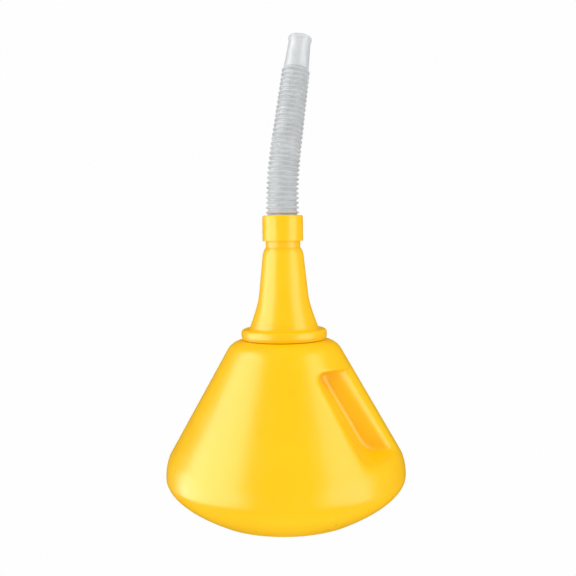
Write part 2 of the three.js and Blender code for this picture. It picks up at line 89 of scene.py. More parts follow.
# bowl
WALL = 1.8
BOWL_R = 90.0
BOWL_WIDEST_Z = 29.4
MOUTH_R = 58.0
LIP_FULLNESS_Z = 16.8        # where the in-turned lip's two tangents meet
HEEL_DEPTH = 7.3
HEEL_HEIGHT = 18.7
CONE_TAPER = 0.566           # radius lost for each millimetre of height
SHOULDER_RISE = 2.2
SHOULDER_ROUND = 6.0
SEAT_Z = high("bowl")
SHOULDER_Z = SEAT_Z - SHOULDER_RISE
SEAT_R = 31.25
THROAT_R = 27.2
SLEEVE_DEPTH = 14.0
SLEEVE_BOTTOM_Z = SEAT_Z - SLEEVE_DEPTH
PARTING_RIDGE = 0.16         # height of the mould's parting line on the bowl
PARTING_WIDTH = 0.5

# pinch grip
GRIP_WIDTH = 30.0            # from the pocket's inner edge to the bowl's outline
GRIP_FLOOR_Y = 22.0
GRIP_BOTTOM_Z = 47.0
GRIP_TOP_Z = 113.0
GRIP_CORNER = 9.0            # how far from a corner two walls begin to blend
GRIP_RIM_ROUND = 2.6
GRIP_LEAST_ROUND = 1.5       # of the rim, on the bowl's inner surface
GRIP_FLOOR_ROUND = 4.0
GRIP_WALL_ANGLE = math.radians(86)
GRIP_WALL_FOOT = 3.0         # from the pocket's outline to the foot of its wall
GRIP_FLOOR_BLEND = 18.0      # where the floor runs out into the cone
GRIP_MARGIN = 12.0           # no part of the pocket reaches further than this past its ends

# tapered spout
SPOUT_WALL = 2.0
PLUG_WALL = 3.2
PLUG_R = THROAT_R - SLIP
PLUG_BORE_R = PLUG_R - PLUG_WALL
PLUG_BOTTOM_Z = low("spout_taper")
SPOUT_BASE_Z = SEAT_Z + GAP
FLANGE_R = 32.05
FLANGE_HEIGHT = 7.6
FLANGE_ROUND = 2.6
FLARE_R = 25.2
FLARE_HEIGHT = 22.5
TAPER_FOOT_R = 18.5
TAPER_TOP_R = 15.3
TAPER_HEIGHT = 30.5
TAPER_SHOULDER = 5.3
NECK_R = 12.9
NECK_BORE_R = 9.8
FLANGE_TOP_Z = SPOUT_BASE_Z + FLANGE_HEIGHT
FLARE_Z = FLANGE_TOP_Z + FLANGE_ROUND
TAPER_FOOT_Z = FLARE_Z + FLARE_HEIGHT
TAPER_TOP_Z = TAPER_FOOT_Z + TAPER_HEIGHT
NECK_Z = TAPER_TOP_Z + TAPER_SHOULDER
NECK_TOP_Z = high("spout_taper")
SEAL_Z = (low("throat_seal") + high("throat_seal")) / 2
SEAL_CORD_R = 0.8
SEAL_GROOVE_DEPTH = 1.8

# screw collar and its thread
COLLAR_Z = low("collar_nut")
COLLAR_TOP_Z = high("collar_nut")
COLLAR_R = 15.2
COLLAR_ROUND = 1.3
COLLAR_TOP_WALL = 2.3
COLLAR_CEILING_Z = COLLAR_TOP_Z - COLLAR_TOP_WALL
COLLAR_BORE_R = NECK_R + GAP
THREAD_PITCH = 4.0
THREAD_DEPTH = 1.0
THREAD_TURNS = 1.75
THREAD_FOOT = 1.8            # width of the ridge at its foot
THREAD_CREST = 0.8
THREAD_FADE = 0.3            # radians over which the ridge rises at its ends
THREAD_LEAD_IN = 2.4         # from the collar's edge to the thread's start
THREAD_CORE_R = NECK_R - THREAD_DEPTH
THREAD_Z = COLLAR_Z + THREAD_LEAD_IN

# strainer
STRAINER_FOOT = 1.5          # height of the ring's foot, below the spout's plug
STRAINER_WALL = 1.8
STRAINER_BOTTOM_Z = PLUG_BOTTOM_Z - GAP - STRAINER_FOOT
STRAINER_R = PLUG_BORE_R - GAP
STRAINER_BORE_R = STRAINER_R - STRAINER_WALL
STRAINER_HEIGHT = 9.0
STRAINER_BAR = 1.8
STRAINER_BAR_DEPTH = 3.2
TAB_WIDTH = 12.0
TAB_DROP = 8.0
WIRE_R = 0.13
WIRE_PITCH = 1.5

# corrugated hose
HOSE_WALL = 0.8
HOSE_FOOT_CREST_R = 12.5
HOSE_TIP_CREST_R = 10.7
RIB_DEPTH = 2.0
RIB_PITCH = 3.62
FOOT_RIBS = 2
SECTION_RIBS = 4
SECTIONS = 7
HOSE_RIBS = FOOT_RIBS + SECTIONS * SECTION_RIBS + 1
HOSE_FLANGE_THICKNESS = 1.5
HOSE_SLEEVE = 3.0
HOSE_FLANGE_R = COLLAR_BORE_R - SLIP
HOSE_SLEEVE_R = 11.0
HOSE_BORE_R = 10.0
HOSE_BASE_Z = low("hose_foot") + HOSE_FLANGE_THICKNESS + HOSE_SLEEVE
CUFF_LENGTH = 25.6
CUFF_FOOT_R = 9.6
CUFF_TOP_R = 8.3
CUFF_WALL = 1.2
CUFF_LIP_R = 8.95
CUFF_LIP_HEIGHT = 3.4
BEND_TOTAL = math.radians(13.6)
BEND_AZIMUTH = math.radians(54)
BEND_START = 0.0
BEND_END = 56.0

# camera: in front of the funnel and above its middle, looking slightly down, and rolled a little
CAMERA_PLACE = (3.32, -598.65, 203.9)
CAMERA_PITCH = math.atan(47 / 800)           # it looks down 47 in 800
CAMERA_ROLL = math.radians(0.78)
CAMERA_LENS = 50.0

# light: the background and the floor as the camera sees them, and as they light the surfaces
WHITE = 0.99
WORLD_FILL = 1.0
WORLD_REFLECTED = 0.03
FLOOR_SIZE_M = 8.0
FLOOR_FILL = 1.3

# ---------------------------------------------------------------- camera, stage and light


def add_camera():
    camera = bpy.data.objects.new("camera", bpy.data.cameras.new("camera"))
    bpy.context.collection.objects.link(camera)
    camera.data.lens = CAMERA_LENS
    camera.data.sensor_width = 36.0
    right = np.array([1.0, 0.0, 0.0])
    up = np.array([0.0, math.sin(CAMERA_PITCH), math.cos(CAMERA_PITCH)])
    back = np.array([0.0, -math.cos(CAMERA_PITCH), math.sin(CAMERA_PITCH)])
    rolled_right = right * math.cos(CAMERA_ROLL) - up * math.sin(CAMERA_ROLL)
    rolled_up = up * math.cos(CAMERA_ROLL) + right * math.sin(CAMERA_ROLL)
    place = [v * MM for v in CAMERA_PLACE]
    rows = [[*map(float, row), place[i]] for i, row in enumerate(zip(rolled_right, rolled_up, back))]
    camera.matrix_world = Matrix([*rows, [0, 0, 0, 1]])
    bpy.context.scene.camera = camera


def add_world(fill, reflected):
    """White to the camera and through clear plastic, a soft fill on surfaces, dim in reflections."""
    world = bpy.data.worlds.new("studio")
    world.use_nodes = True
    tree = world.node_tree
    path = tree.nodes.new("ShaderNodeLightPath")
    seen = tree.nodes["Background"]
    seen.inputs["Color"].default_value = (1, 1, 1, 1)
    seen.inputs["Strength"].default_value = WHITE
    shader = seen.outputs[0]
    for ray, strength in (("Is Diffuse Ray", fill), ("Is Glossy Ray", reflected)):
        background = tree.nodes.new("ShaderNodeBackground")
        background.inputs["Color"].default_value = (1, 1, 1, 1)
        background.inputs["Strength"].default_value = strength
        mix = tree.nodes.new("ShaderNodeMixShader")
        tree.links.new(path.outputs[ray], mix.inputs[0])
        tree.links.new(shader, mix.inputs[1])
        tree.links.new(background.outputs[0], mix.inputs[2])
        shader = mix.outputs[0]
    tree.links.new(shader, tree.nodes["World Output"].inputs["Surface"])
    # an even fill needs no sampling, and without it each ray sees its own strength
    world.cycles.sampling_method = "NONE"
    bpy.context.scene.world = world


def add_floor(size_m, glow):
    """A glowing white floor, as a light table is, wide enough for every view."""
    half = size_m / 2
    mesh = bpy.data.meshes.new("floor")
    z = CAD_BOX[0][2]
    corners = [(-half, -half, z), (half, -half, z), (half, half, z), (-half, half, z)]
    mesh.from_pydata(corners, [], [(0, 1, 2, 3)])
    floor = bpy.data.objects.new("floor", mesh)
    bpy.context.collection.objects.link(floor)
    material = bpy.data.materials.new("floor_white")
    material.use_nodes = True
    tree = material.node_tree
    tree.nodes.remove(tree.nodes["Principled BSDF"])
    path = tree.nodes.new("ShaderNodeLightPath")
    strength = tree.nodes.new("ShaderNodeMapRange")
    strength.inputs["To Min"].default_value = WHITE
    strength.inputs["To Max"].default_value = glow
    glowing = tree.nodes.new("ShaderNodeEmission")
    tree.links.new(path.outputs["Is Diffuse Ray"], strength.inputs["Value"])
    tree.links.new(strength.outputs["Result"], glowing.inputs["Strength"])
    tree.links.new(glowing.outputs[0], tree.nodes["Material Output"].inputs["Surface"])
    material.cycles.emission_sampling = "NONE"
    mesh.materials.append(material)
    floor.visible_glossy = False
    floor.visible_shadow = False


def add_panel(name, corner, along, up, radiance, lights_surfaces):
    """A soft rectangular light from its corner and two sides, in metres, that the camera doesn't see.

    It either lights the surfaces or is only reflected in them. It shines away from along x up.
    """
    corner, along, up = (np.array(v, float) for v in (corner, along, up))
    width, height = np.linalg.norm(along), np.linalg.norm(up)
    light = bpy.data.lights.new(name, "AREA")
    light.shape = "RECTANGLE"
    light.size, light.size_y = width, height
    light.energy = radiance * math.pi * width * height
    panel = bpy.data.objects.new(name, light)
    bpy.context.collection.objects.link(panel)
    place = corner + (along + up) / 2
    side, top = along / width, up / height
    rows = [[*map(float, row), place[i]] for i, row in enumerate(zip(side, top, np.cross(side, top)))]
    panel.matrix_world = Matrix([*rows, [0, 0, 0, 1]])
    panel.visible_camera = False
    panel.visible_diffuse = lights_surfaces
    panel.visible_glossy = not lights_surfaces


def add_studio():
    bpy.context.scene.view_settings.view_transform = "Standard"
    add_world(WORLD_FILL, WORLD_REFLECTED)
    add_floor(FLOOR_SIZE_M, FLOOR_FILL)
    left = (-0.72, 0.28, -0.25), (0.0, -1.33, 0.0), (-0.55, 0.0, 2.0)
    right = (0.72, -1.25, -0.25), (0.0, 1.10, 0.0), (0.55, 0.0, 2.0)
    add_panel("left_softbox", *left, 8.6, False)
    add_panel("right_softbox", *right, 6.2, False)
    add_panel("top_fill", (-0.7, -0.9, 1.7), (1.4, 0.0, 0.0), (0.0, 1.4, 0.0), 1.1, True)


# ---------------------------------------------------------------- materials


class Shader:
    """A Principled material with short ways to add procedural detail to it."""

    def __init__(self, name, **values):
        self.material = bpy.data.materials.new(name)
        self.material.use_nodes = True
        self.tree = self.material.node_tree
        self.shader = self.tree.nodes["Principled BSDF"]
        self.place = self.node("ShaderNodeTexCoord").outputs["Object"]
        self.bump_normal = None
        for key, value in values.items():
            self.shader.inputs[key.replace("_", " ")].default_value = value

    def node(self, kind, **settings):
        made = self.tree.nodes.new(kind)
        for key, value in settings.items():
            setattr(made, key, value)
        return made

    def link(self, source, target):
        self.tree.links.new(source, target)

    def noise(self, size, detail=2.0, stretch=(1, 1, 1)):
        """Noise whose features are about size millimetres across, drawn out along an axis by stretch."""
        mapping = self.node("ShaderNodeMapping")
        mapping.inputs["Scale"].default_value = stretch
        self.link(self.place, mapping.inputs["Vector"])
        noise = self.node("ShaderNodeTexNoise")
        noise.inputs["Scale"].default_value = 1 / (size * MM)
        noise.inputs["Detail"].default_value = detail
        self.link(mapping.outputs["Vector"], noise.inputs["Vector"])
        return noise.outputs["Fac"]

    def ramp(self, source, stops):
        ramp = self.node("ShaderNodeValToRGB")
        elements = ramp.color_ramp.elements
        for i, (place, colour) in enumerate(stops):
            element = elements[i] if i < 2 else elements.new(place)
            element.position = place
            element.color = (*colour, 1)
        self.link(source, ramp.inputs["Fac"])
        return ramp.outputs["Color"]

    def colour(self, source, stops):
        self.link(self.ramp(source, stops), self.shader.inputs["Base Color"])

    def roughness(self, source, least, most):
        spread = self.node("ShaderNodeMapRange")
        spread.inputs["From Min"].default_value = 0.3
        spread.inputs["From Max"].default_value = 0.7
        spread.inputs["To Min"].default_value = least
        spread.inputs["To Max"].default_value = most
        self.link(source, spread.inputs["Value"])
        self.link(spread.outputs["Result"], self.shader.inputs["Roughness"])

    def bump(self, source, height):
        """Relief of that height in millimetres; calls add up."""
        bump = self.node("ShaderNodeBump")
        bump.inputs["Strength"].default_value = 1.0
        bump.inputs["Distance"].default_value = height * MM
        self.link(source, bump.inputs["Height"])
        if self.bump_normal:
            self.link(self.bump_normal, bump.inputs["Normal"])
        self.bump_normal = bump.outputs["Normal"]
        self.link(self.bump_normal, self.shader.inputs["Normal"])


def yellow_plastic(name, grain, stretch, least, most):
    """Opaque yellow polyethylene: a satin skin with a faint orange peel and cloudy pigment."""
    made = Shader(name, IOR=1.5, Specular_IOR_Level=0.2)
    made.colour(made.noise(38, 3), [
        (0.34, (0.94, 0.522, 0.0010)), (0.52, (0.955, 0.535, 0.0012)), (0.68, (0.965, 0.548, 0.0015))])
    made.roughness(made.noise(9, 4, stretch), least, most)
    made.bump(made.noise(grain, 2), 0.012)
    made.bump(made.noise(14, 1, stretch), 0.05)
    return made.material


def frosted_plastic():
    """Thin natural polyethylene: milky with cloudy patches, and light passes through it."""
    made = Shader("hose_frosted", IOR=1.5, Transmission_Weight=0.35, Specular_IOR_Level=0.25)
    made.colour(made.noise(11, 3), [
        (0.35, (0.68, 0.705, 0.72)), (0.5, (0.72, 0.74, 0.75)), (0.66, (0.755, 0.77, 0.775))])
    made.roughness(made.noise(5, 3), 0.34, 0.5)
    made.bump(made.noise(0.9, 3), 0.02)
    return made.material


def black_rubber():
    made = Shader("seal_black_rubber", IOR=1.45)
    made.colour(made.noise(2.5, 4), [(0.4, (0.012, 0.012, 0.013)), (0.62, (0.03, 0.03, 0.031))])
    made.roughness(made.noise(1.2, 4), 0.55, 0.8)
    made.bump(made.noise(0.25, 3), 0.01)
    return made.material


def natural_plastic():
    made = Shader("strainer_natural", IOR=1.5, Subsurface_Weight=0.2, Subsurface_Scale=1.5 * MM)
    made.colour(made.noise(7, 3), [(0.4, (0.72, 0.71, 0.66)), (0.62, (0.82, 0.81, 0.77))])
    made.roughness(made.noise(2.5, 3), 0.32, 0.5)
    made.bump(made.noise(0.6, 2), 0.008)
    return made.material


def woven_steel():
    made = Shader("gauze_steel", Metallic=1.0)
    made.colour(made.noise(3, 3), [(0.4, (0.42, 0.42, 0.43)), (0.62, (0.6, 0.6, 0.6))])
    made.roughness(made.noise(0.8, 3), 0.22, 0.42)
    made.bump(made.noise(0.12, 2), 0.004)
    return made.material


# ---------------------------------------------------------------- mesh helpers


def enclosed(points, faces):
    """Six times the volume that the faces enclose; negative when they point in."""
    total = 0.0
    for sides in {len(face) for face in faces}:
        corners = points[np.array([face for face in faces if len(face) == sides])]
        for j in range(1, sides - 1):
            total += np.sum(corners[:, 0] * np.cross(corners[:, j], corners[:, j + 1]))
    return total


def make_piece(name, points, faces, material, body=None, sharp=40):
    """A mesh object from points in millimetres, turned so that its faces point out."""
    points = np.asarray(points, float)
    if enclosed(points, faces) < 0:
        faces = [face[::-1] for face in faces]
    mesh = bpy.data.meshes.new(name)
    mesh.from_pydata((points * MM).tolist(), [], [list(map(int, face)) for face in faces])
    mesh.validate()
    mesh.materials.append(material)
    mesh.shade_smooth()
    mesh.set_sharp_from_angle(angle=math.radians(sharp))
    piece = bpy.data.objects.new(name, mesh)
    bpy.context.collection.objects.link(piece)
    if body:
        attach(piece, body)
    return piece


def grid_faces(rows, columns, wrap_rows=True, first=0):
    faces = []
    for i in range(rows if wrap_rows else rows - 1):
        above = ((i + 1) % rows) * columns
        for j in range(columns):
            right = (j + 1) % columns
            here = i * columns
            faces.append((first + here + j, first + here + right, first + above + right, first + above + j))
    return faces


def spun(outline, angles):
    """rows x columns x 3 points of a closed (radius, height) outline turned about +Z."""
    outline = np.asarray(outline, float)
    r, z = outline[:, :1], outline[:, 1:]
    x = r * np.cos(angles)[None, :]
    y = r * np.sin(angles)[None, :]
    return np.stack([x, y, np.broadcast_to(z, x.shape)], axis=2)


def full_turn(columns):
    return np.arange(columns) * (2 * math.pi / columns)


def spun_piece(name, outline, columns, material, body):
    grid = spun(outline, full_turn(columns))
    faces = grid_faces(len(outline), columns)
    piece = make_piece(name, grid.reshape(-1, 3), faces, material, body)
    piece.modifiers.new("even_normals", "WEIGHTED_NORMAL").keep_sharp = True
    return piece


def rounded(corners, steps=5):
    """A closed outline from (radius, height, rounding) corners, with an arc at each rounded one."""
    outline = []
    count = len(corners)
    for i, (x, z, size) in enumerate(corners):
        here = np.array([x, z], float)
        if size <= 0:
            outline.append(here)
            continue
        before = np.array(corners[(i - 1) % count][:2], float) - here
        after = np.array(corners[(i + 1) % count][:2], float) - here
        before /= np.linalg.norm(before)
        after /= np.linalg.norm(after)
        half = math.acos(max(-1.0, min(1.0, float(before @ after)))) / 2
        back = size / math.tan(half)
        centre = here + (before + after) / np.linalg.norm(before + after) * size / math.sin(half)
        start = here + before * back - centre
        end = here + after * back - centre
        turn = math.pi - 2 * half
        for k in range(steps + 1):
            t = k / steps
            spoke = (start * math.sin((1 - t) * turn) + end * math.sin(t * turn)) / math.sin(turn)
            outline.append(centre + spoke)
    return outline


def bezier(a, b, c, steps):
    """Points after a on the quadratic curve from a past b to c."""
    a, b, c = (np.array(p, float) for p in (a, b, c))
    return [a * (1 - t) ** 2 + 2 * b * t * (1 - t) + c * t * t for t in (np.arange(steps) + 1) / steps]


def straight(a, b, step):
    """Points after a on the line to b, no further apart than step."""
    a, b = np.array(a, float), np.array(b, float)
    count = max(1, math.ceil(np.linalg.norm(b - a) / step))
    return [a + (b - a) * k / count for k in range(1, count + 1)]


def soft_min(a, b, blend):
    near = np.clip(1 - np.abs(a - b) / blend, 0, 1)
    return np.minimum(a, b) - near * near * blend / 4


# ---------------------------------------------------------------- bowl

HEEL_ANGLE = math.atan(CONE_TAPER * HEEL_HEIGHT / HEEL_DEPTH)
HEEL_STEPS = 14
CONE_LEAN = math.atan(CONE_TAPER)


def heel(turn):
    """The point on the heel's ellipse at that angle above the bowl's widest place."""
    radius = BOWL_R - HEEL_DEPTH * (1 - math.cos(turn))
    return np.array([radius, BOWL_WIDEST_Z + HEEL_HEIGHT * math.sin(turn)])


HEEL_TOP = heel(HEEL_ANGLE)


def cone_radius(z):
    return HEEL_TOP[0] - CONE_TAPER * (z - HEEL_TOP[1])


def bowl_outside():
    """From the mouth's rim up to the seat's edge."""
    path = [np.array([MOUTH_R, 0.0])]
    path += bezier(path[-1], (BOWL_R, LIP_FULLNESS_Z), (BOWL_R, BOWL_WIDEST_Z), 30)
    path += [heel(HEEL_ANGLE * k / HEEL_STEPS) for k in range(1, HEEL_STEPS + 1)]
    corner = np.array([cone_radius(SHOULDER_Z), SHOULDER_Z])
    down = HEEL_TOP - corner
    inward = np.array([SEAT_R, SEAT_Z]) - corner
    cone_end = corner + down / np.linalg.norm(down) * SHOULDER_ROUND
    shoulder_end = corner + inward / np.linalg.norm(inward) * SHOULDER_ROUND
    path += straight(path[-1], cone_end, 0.75)
    path += bezier(cone_end, corner, shoulder_end, 10)
    path += straight(shoulder_end, (SEAT_R, SEAT_Z), 1.5)
    return path


def moved_in(path, distance):
    """The path moved sideways, to the left of its direction of travel."""
    path = np.array(path)
    along = np.gradient(path, axis=0)
    along /= np.linalg.norm(along, axis=1)[:, None]
    return path + np.stack([-along[:, 1], along[:, 0]], axis=1) * distance


def bowl_outline():
    """The closed outline, and for each of its points how far inside the outer surface it is."""
    outside = bowl_outside()
    inside = [p for p in moved_in(outside, WALL)[::-1] if p[1] > EDGE]
    foot = [np.array([inside[-1][0] - EDGE * 1.6, 0.0]), np.array([MOUTH_R - EDGE, 0.0])]
    rim = [outside[1] * 0.25 + outside[0] * 0.75]
    sleeve_r = THROAT_R + WALL
    throat = [np.array(corner) for corner in (
        (THROAT_R + EDGE, SEAT_Z), (THROAT_R, SEAT_Z - EDGE),
        (THROAT_R, SLEEVE_BOTTOM_Z + EDGE), (THROAT_R + EDGE, SLEEVE_BOTTOM_Z),
        (sleeve_r - EDGE, SLEEVE_BOTTOM_Z), (sleeve_r, SLEEVE_BOTTOM_Z + EDGE),
        (sleeve_r, SEAT_Z - WALL - 1), (sleeve_r + 0.8, SEAT_Z - WALL - 0.15))]
    outer = rim + outside[1:]
    points = outer + throat + inside + foot
    is_outer = [True] * len(outer) + [False] * (len(points) - len(outer))
    is_inner = [False] * (len(outer) + len(throat)) + [True] * len(inside) + [False] * len(foot)
    return np.array(points), np.array(is_outer), np.array(is_inner)


def bowl_angles():
    """Columns from -Y towards +X, closer together where the pockets are."""
    angles = []
    for start, end, step in ((0, 18, 3), (18, 84, 0.45), (84, 96, 1.0), (96, 162, 0.45), (162, 360, 3)):
        count = round((end - start) / step)
        angles += [start + (end - start) * k / count for k in range(count)]
    return np.radians(np.array(angles))


def pressed(x, y, z, depth):
    """y moved in where a pocket is; depth is how far the surface lies inside the bowl's outer one.

    Going in from the pocket's outline, the section is an arc over the rim, a steep straight wall, an
    arc into the floor and the floor. Both arcs shrink where the pocket is too shallow for them.
    """
    away = np.abs(y)
    slope = math.tan(GRIP_WALL_ANGLE)
    across = math.cos(GRIP_WALL_ANGLE)
    upright = math.sin(GRIP_WALL_ANGLE)
    half_turn = math.tan(GRIP_WALL_ANGLE / 2)
    rim_round = max(GRIP_RIM_ROUND - depth, GRIP_LEAST_ROUND)
    floor_round = GRIP_FLOOR_ROUND + depth
    from_left = (x - (cone_radius(z) - GRIP_WIDTH)) * math.cos(CONE_LEAN)
    from_sides = soft_min(from_left, z - GRIP_BOTTOM_Z, GRIP_CORNER)
    inside = soft_min(from_sides, GRIP_TOP_Z - z, GRIP_CORNER) + depth
    floor = soft_min(away, GRIP_FLOOR_Y - depth, GRIP_FLOOR_BLEND)
    fall = np.maximum(away - floor, 0)
    shrink = np.minimum(1, fall / ((1 - across) * (rim_round + floor_round)) + 1e-6)
    rim_r, floor_r = rim_round * shrink, floor_round * shrink
    rim_back, floor_back = rim_r * half_turn, floor_r * half_turn
    wall_top = GRIP_WALL_FOOT - fall / slope
    into_rim = np.clip(inside - (wall_top - rim_back), 0, rim_r * upright)
    rim_arc = away - (rim_r - np.sqrt(np.maximum(rim_r * rim_r - into_rim * into_rim, 0)))
    wall = floor + slope * (GRIP_WALL_FOOT - inside)
    to_floor = np.clip(GRIP_WALL_FOOT + floor_back - inside, 0, floor_r * upright)
    floor_arc = floor + floor_r - np.sqrt(np.maximum(floor_r * floor_r - to_floor * to_floor, 0))
    result = np.where(inside < wall_top - rim_back, away, rim_arc)
    result = np.where(inside > wall_top + rim_back * across, wall, result)
    result = np.where(inside > GRIP_WALL_FOOT - floor_back * across, floor_arc, result)
    result = np.where(inside > GRIP_WALL_FOOT + floor_back, floor, result)
    result = np.minimum(result, away)
    near = (z > GRIP_BOTTOM_Z - GRIP_MARGIN) & (z < GRIP_TOP_Z + GRIP_MARGIN)
    return np.where((x > 0) & (fall > 1e-6) & near, np.sign(y) * result, y)


def make_bowl(material):
    outline, is_outer, is_inner = bowl_outline()
    angles = bowl_angles()
    grid = spun(outline, angles - math.pi / 2)
    x, y, z = grid[..., 0], grid[..., 1], grid[..., 2]
    y_outer = pressed(x, y, z, 0.0)
    y_inner = pressed(x, y, z, WALL)
    y_new = np.where(is_outer[:, None], y_outer, np.where(is_inner[:, None], y_inner, y))
    # the mould's parting line runs up both sides of the bowl, over the grip
    radius = np.hypot(x, y_new)
    across = np.abs(y_new) / PARTING_WIDTH
    ridge = PARTING_RIDGE * np.exp(-across ** 2)
    ridge = np.where(is_outer[:, None] & (z < SHOULDER_Z) & (z > 1.0), ridge, 0)
    grow = 1 + ridge / np.maximum(radius, 1)
    grid = np.stack([x * grow, y_new * grow, z], axis=2)
    piece = make_piece("bowl_shell", grid.reshape(-1, 3), grid_faces(len(outline), len(angles)), material,
                       "bowl", sharp=55)
    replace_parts(piece, "bowl")


# ---------------------------------------------------------------- threads


def ridge_height(angle, z, start_z):
    """0 to 1: how far a helical ridge that starts at +X stands up at an angle and a height."""
    total = np.zeros(np.broadcast(angle, z).shape)
    end = 2 * math.pi * THREAD_TURNS
    for turn in range(math.ceil(THREAD_TURNS)):
        wound = angle + 2 * math.pi * turn
        centre = start_z + THREAD_PITCH * wound / (2 * math.pi)
        off = np.abs(z - centre)
        section = np.clip((THREAD_FOOT / 2 - off) / ((THREAD_FOOT - THREAD_CREST) / 2), 0, 1)
        section = section * section * (3 - 2 * section)
        fade = np.clip(wound / THREAD_FADE, 0, 1) * np.clip((end - wound) / THREAD_FADE, 0, 1)
        total = np.maximum(total, section * fade)
    return total


# ---------------------------------------------------------------- spout, seal, strainer


def spout_outline():
    """Up the outside from the plug to the neck's end, then down the bore."""
    groove_low, groove_high = SEAL_Z - SEAL_CORD_R - GAP, SEAL_Z + SEAL_CORD_R + GAP
    groove_r = PLUG_R - SEAL_GROOVE_DEPTH
    groove_edge = 0.15
    lower = rounded([
        (PLUG_BORE_R, PLUG_BOTTOM_Z, EDGE), (PLUG_R, PLUG_BOTTOM_Z, 0.8),
        (PLUG_R, groove_low, groove_edge), (groove_r, groove_low, groove_edge),
        (groove_r, groove_high, groove_edge), (PLUG_R, groove_high, groove_edge),
        (PLUG_R, SPOUT_BASE_Z, 0), (SEAT_R, SPOUT_BASE_Z, EDGE),
        (FLANGE_R, SPOUT_BASE_Z + FLANGE_HEIGHT / 3, 1.2), (FLANGE_R, FLANGE_TOP_Z, FLANGE_ROUND * 0.95),
        (FLARE_R + 2.6, FLANGE_TOP_Z, 0)], 7)
    lower = [p for p in lower if not (p[0] < PLUG_BORE_R + EDGE + 0.01 and p[1] > FLANGE_TOP_Z)]
    path = list(lower[:-1])
    flare_foot = (FLARE_R, FLARE_Z)
    path += bezier((FLARE_R + 2.6, FLANGE_TOP_Z), (FLARE_R + 0.3, FLANGE_TOP_Z + 0.2), flare_foot, 6)
    path += bezier(flare_foot, (TAPER_FOOT_R + 1.1, TAPER_FOOT_Z - 8), (TAPER_FOOT_R, TAPER_FOOT_Z), 22)
    path += straight(path[-1], (TAPER_TOP_R, TAPER_TOP_Z), 2.5)
    path += bezier(path[-1], (TAPER_TOP_R - 0.7, NECK_Z - 2), (NECK_R, NECK_Z), 8)
    path += straight(path[-1], (NECK_R, COLLAR_Z + 0.3), 1.2)
    path += straight(path[-1], (THREAD_CORE_R, COLLAR_Z + 1.3), 0.5)
    path += straight(path[-1], (THREAD_CORE_R, NECK_TOP_Z - 0.4), 0.25)
    path += bezier(path[-1], (THREAD_CORE_R, NECK_TOP_Z), (THREAD_CORE_R - 0.4, NECK_TOP_Z), 4)
    path += straight(path[-1], (NECK_BORE_R + 0.3, NECK_TOP_Z), 2)
    path += bezier(path[-1], (NECK_BORE_R, NECK_TOP_Z), (NECK_BORE_R, NECK_TOP_Z - 0.3), 4)
    path += straight(path[-1], (NECK_BORE_R, NECK_Z), 4)
    path += straight(path[-1], (TAPER_TOP_R - SPOUT_WALL, TAPER_TOP_Z - SPOUT_WALL), 1.5)
    path += straight(path[-1], (TAPER_FOOT_R - SPOUT_WALL, TAPER_FOOT_Z), 4)
    bore_fullness = (TAPER_FOOT_R + 1.1 - SPOUT_WALL, TAPER_FOOT_Z - 8)
    path += bezier(path[-1], bore_fullness, (PLUG_BORE_R, FLARE_Z - SPOUT_WALL), 16)
    return path


def make_spout(material):
    columns = 144
    outline = np.array(spout_outline())
    angles = full_turn(columns)
    grid = spun(outline, angles)
    z = grid[..., 2]
    radius = np.hypot(grid[..., 0], grid[..., 1])
    on_core = (np.abs(radius - THREAD_CORE_R) < 0.02) & (z > COLLAR_Z + 1.2)
    height = ridge_height(angles[None, :], z, THREAD_Z)
    grow = 1 + np.where(on_core, height, 0) * THREAD_DEPTH / THREAD_CORE_R
    grid[..., 0] *= grow
    grid[..., 1] *= grow
    piece = make_piece("spout_body", grid.reshape(-1, 3), grid_faces(len(outline), columns), material,
                       "spout")
    piece.modifiers.new("even_normals", "WEIGHTED_NORMAL").keep_sharp = True
    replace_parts(piece, "spout_taper")


def make_seal(material):
    centre = PLUG_R - SEAL_GROOVE_DEPTH + GAP + SEAL_CORD_R
    turns = full_turn(16)
    outline = [(centre + SEAL_CORD_R * math.cos(t), SEAL_Z + SEAL_CORD_R * math.sin(t)) for t in turns]
    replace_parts(spun_piece("seal_ring", outline, 96, material, "spout"), "throat_seal")


def beveled_box(size, centre, edge):
    """Points and faces of a box whose edges are cut by a small chamfer, in millimetres."""
    half = np.array(size, float) / 2
    points, faces, index = [], [], {}
    signs = [(i, j, k) for i in (-1, 1) for j in (-1, 1) for k in (-1, 1)]
    for corner in signs:
        for axis in range(3):
            place = [corner[n] * (half[n] - (0 if n == axis else edge)) for n in range(3)]
            index[(corner, axis)] = len(points)
            points.append(np.array(place) + centre)
    for axis in range(3):
        u, v = [n for n in range(3) if n != axis]
        for sign in (-1, 1):
            ring = []
            for su, sv in ((-1, -1), (1, -1), (1, 1), (-1, 1)):
                corner = [0, 0, 0]
                corner[axis], corner[u], corner[v] = sign, su, sv
                ring.append(index[(tuple(corner), axis)])
            faces.append(ring)
    for u, v in ((0, 1), (1, 2), (0, 2)):
        w = 3 - u - v
        for su in (-1, 1):
            for sv in (-1, 1):
                ends = []
                for sw in (-1, 1):
                    corner = [0, 0, 0]
                    corner[u], corner[v], corner[w] = su, sv, sw
                    ends.append(tuple(corner))
                near, far = ends
                faces.append([index[(near, u)], index[(near, v)], index[(far, v)], index[(far, u)]])
    for corner in signs:
        faces.append([index[(corner, axis)] for axis in range(3)])
    return points, faces


def solid(name, points, faces):
    """A plain mesh object whose faces all point out."""
    made = bmesh.new()
    corners = [made.verts.new(np.asarray(p) * MM) for p in points]
    for face in faces:
        made.faces.new([corners[i] for i in face])
    bmesh.ops.recalc_face_normals(made, faces=made.faces)
    mesh = bpy.data.meshes.new(name)
    made.to_mesh(mesh)
    made.free()
    piece = bpy.data.objects.new(name, mesh)
    bpy.context.collection.objects.link(piece)
    return piece


